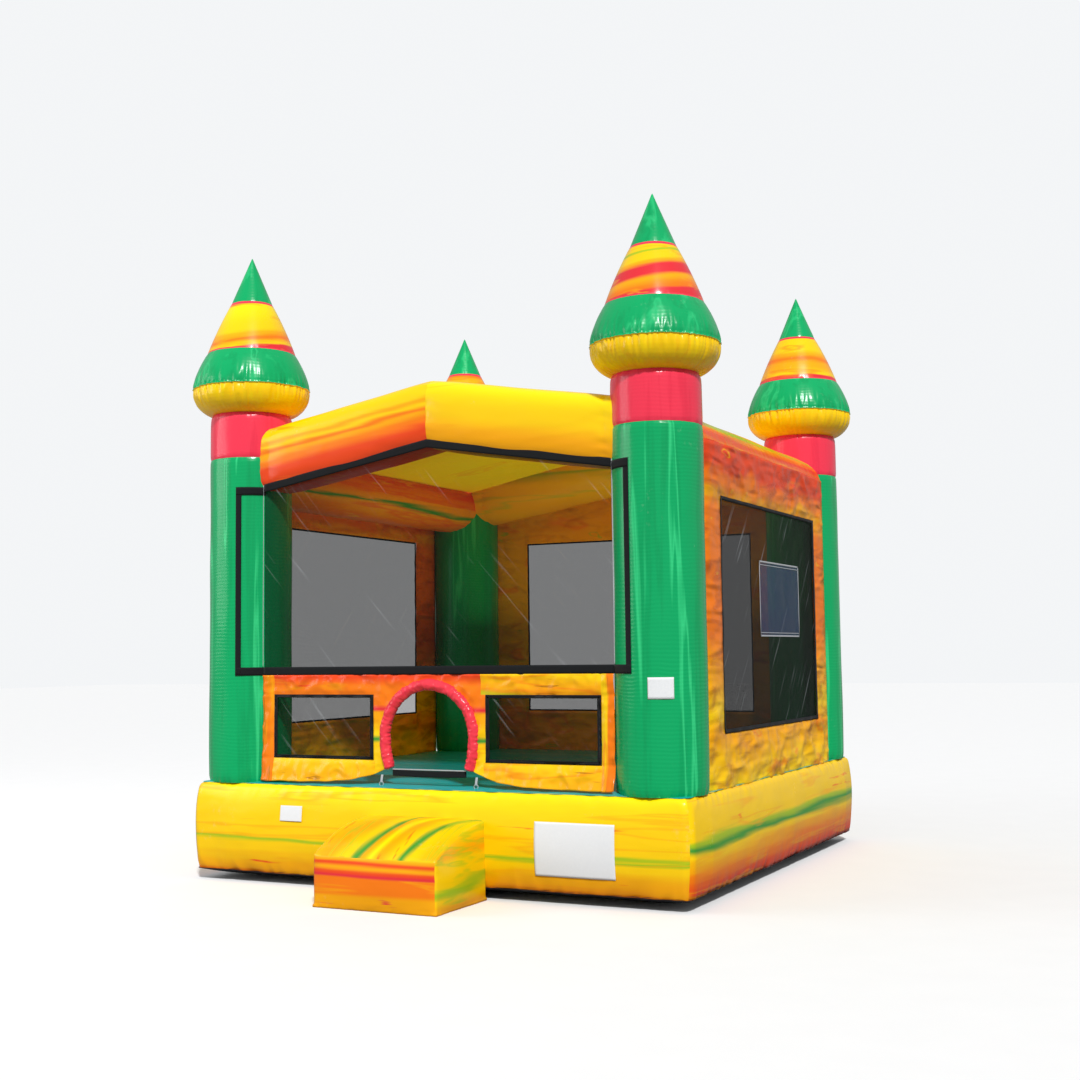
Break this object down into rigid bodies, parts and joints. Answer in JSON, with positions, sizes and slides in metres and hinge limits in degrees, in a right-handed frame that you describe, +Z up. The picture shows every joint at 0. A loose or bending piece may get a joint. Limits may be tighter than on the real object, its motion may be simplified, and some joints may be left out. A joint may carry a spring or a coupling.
{
  "type": "inflatable bounce house",
  "caption": "Square inflatable bounce house with a turreted tube at each corner, netted walls, a gabled roof sheet, an arched doorway, an entry step and an air tube.",
  "frame": {"origin": "on the ground under the middle of the square base", "axes": "+Z up, -Y towards the doorway and entry step, +X to the right of someone walking in"},
  "size_m": [4.29, 5.58, 4.77],
  "materials": {
    "vinyl_base": "glossy coated vinyl, yellow with orange and red marbling",
    "vinyl_floor": "glossy coated vinyl, teal",
    "vinyl_bottom": "satin coated vinyl, dark grey",
    "vinyl_baffle": "satin coated vinyl, off-white",
    "vinyl_column": "glossy coated vinyl, green with lighter streaks",
    "vinyl_collar": "glossy coated vinyl, pink-red",
    "vinyl_bowl": "glossy coated vinyl, yellow",
    "vinyl_band": "glossy coated vinyl, green",
    "vinyl_turret": "glossy coated vinyl, yellow with orange and red bands",
    "vinyl_tip": "glossy coated vinyl, green",
    "vinyl_beam": "glossy coated vinyl, yellow to amber",
    "vinyl_roof": "satin coated vinyl, yellow",
    "vinyl_wall": "glossy coated vinyl, marbled yellow",
    "vinyl_step": "glossy coated vinyl, yellow with green and red stripes",
    "netting": "fine black knitted net",
    "door_trim": "glossy padded vinyl, red",
    "hook_strip": "matt black hook-and-loop strip",
    "webbing": "woven grey webbing",
    "pocket_clear": "clear flexible vinyl",
    "vinyl_tube": "satin coated fabric, amber",
    "zip": "black nylon",
    "ring_steel": "plated steel",
    "label": "plain white printed-label cloth, left blank"
  },
  "bodies": {
    "shell": {"base_skirt": "vinyl_base", "bounce_floor": "vinyl_floor", "base_bottom": "vinyl_bottom", "base_baffles": "vinyl_baffle", "column_front_left": "vinyl_column", "column_front_right": "vinyl_column", "column_back_left": "vinyl_column", "column_back_right": "vinyl_column", "collar_front_left": "vinyl_collar", "collar_front_right": "vinyl_collar", "collar_back_left": "vinyl_collar", "collar_back_right": "vinyl_collar", "turret_bowl_front_left": "vinyl_bowl", "turret_bowl_front_right": "vinyl_bowl", "turret_bowl_back_left": "vinyl_bowl", "turret_bowl_back_right": "vinyl_bowl", "turret_band_front_left": "vinyl_band", "turret_band_front_right": "vinyl_band", "turret_band_back_left": "vinyl_band", "turret_band_back_right": "vinyl_band", "turret_marble_front_left": "vinyl_turret", "turret_marble_front_right": "vinyl_turret", "turret_marble_back_left": "vinyl_turret", "turret_marble_back_right": "vinyl_turret", "turret_tip_front_left": "vinyl_tip", "turret_tip_front_right": "vinyl_tip", "turret_tip_back_left": "vinyl_tip", "turret_tip_back_right": "vinyl_tip", "side_beam_left": "vinyl_beam", "side_beam_right": "vinyl_beam", "front_beam": "vinyl_beam", "back_beam": "vinyl_beam", "roof_cover": "vinyl_roof", "front_net": "netting", "door_trim": "door_trim", "front_panel": "vinyl_wall", "threshold_strap": "webbing", "banner_frame": "hook_strip", "floor_ties": "webbing", "side_wall_left": "vinyl_wall", "side_wall_right": "vinyl_wall", "back_wall": "vinyl_wall", "side_net_left": "netting", "side_net_right": "netting", "back_net": "netting", "window_pocket": "pocket_clear", "entry_step": "vinyl_step", "inflation_tube": "vinyl_tube", "tube_cinch_strap": "webbing", "zip_tape": "zip", "anchor_loops": "webbing", "anchor_patches": "webbing", "sewn_labels": "label"},
    "zip_slider": {"zip_slider": "zip"},
    "zip_pull": {"zip_pull": "zip"},
    "zip_flap": {"zip_flap": "vinyl_base"},
    "anchor_ring_back_left": {"anchor_ring_back_left": "ring_steel"},
    "anchor_ring_back_right": {"anchor_ring_back_right": "ring_steel"},
    "anchor_ring_left_front": {"anchor_ring_left_front": "ring_steel"},
    "anchor_ring_left_back": {"anchor_ring_left_back": "ring_steel"}
  },
  "joints": [
    {"name": "zip_slide", "type": "slide", "parent": "shell", "child": "zip_slider", "axis": [-1, 0, 0], "range_m": [0, 1.02]},
    {"name": "pull_swing", "type": "hinge", "parent": "zip_slider", "child": "zip_pull", "pos_m": [0.66, 2.013, 0.29], "axis": [0, 1, 0], "range_deg": [-80, 80]},
    {"name": "flap_lift", "type": "hinge", "parent": "shell", "child": "zip_flap", "pos_m": [0.15, 2.013, 0.35], "axis": [1, 0, 0], "range_deg": [0, 150]},
    {"name": "ring_swing_back_left", "type": "hinge", "parent": "shell", "child": "anchor_ring_back_left", "pos_m": [-1.74, 2.0113, 0.19], "axis": [1, 0, 0], "range_deg": [0, 150]},
    {"name": "ring_swing_back_right", "type": "hinge", "parent": "shell", "child": "anchor_ring_back_right", "pos_m": [1.74, 2.0113, 0.19], "axis": [1, 0, 0], "range_deg": [0, 150]},
    {"name": "ring_swing_left_front", "type": "hinge", "parent": "shell", "child": "anchor_ring_left_front", "pos_m": [-2.0113, -1.74, 0.19], "axis": [0, 1, 0], "range_deg": [0, 150]},
    {"name": "ring_swing_left_back", "type": "hinge", "parent": "shell", "child": "anchor_ring_left_back", "pos_m": [-2.0113, 1.74, 0.19], "axis": [0, 1, 0], "range_deg": [0, 150]}
  ]
}
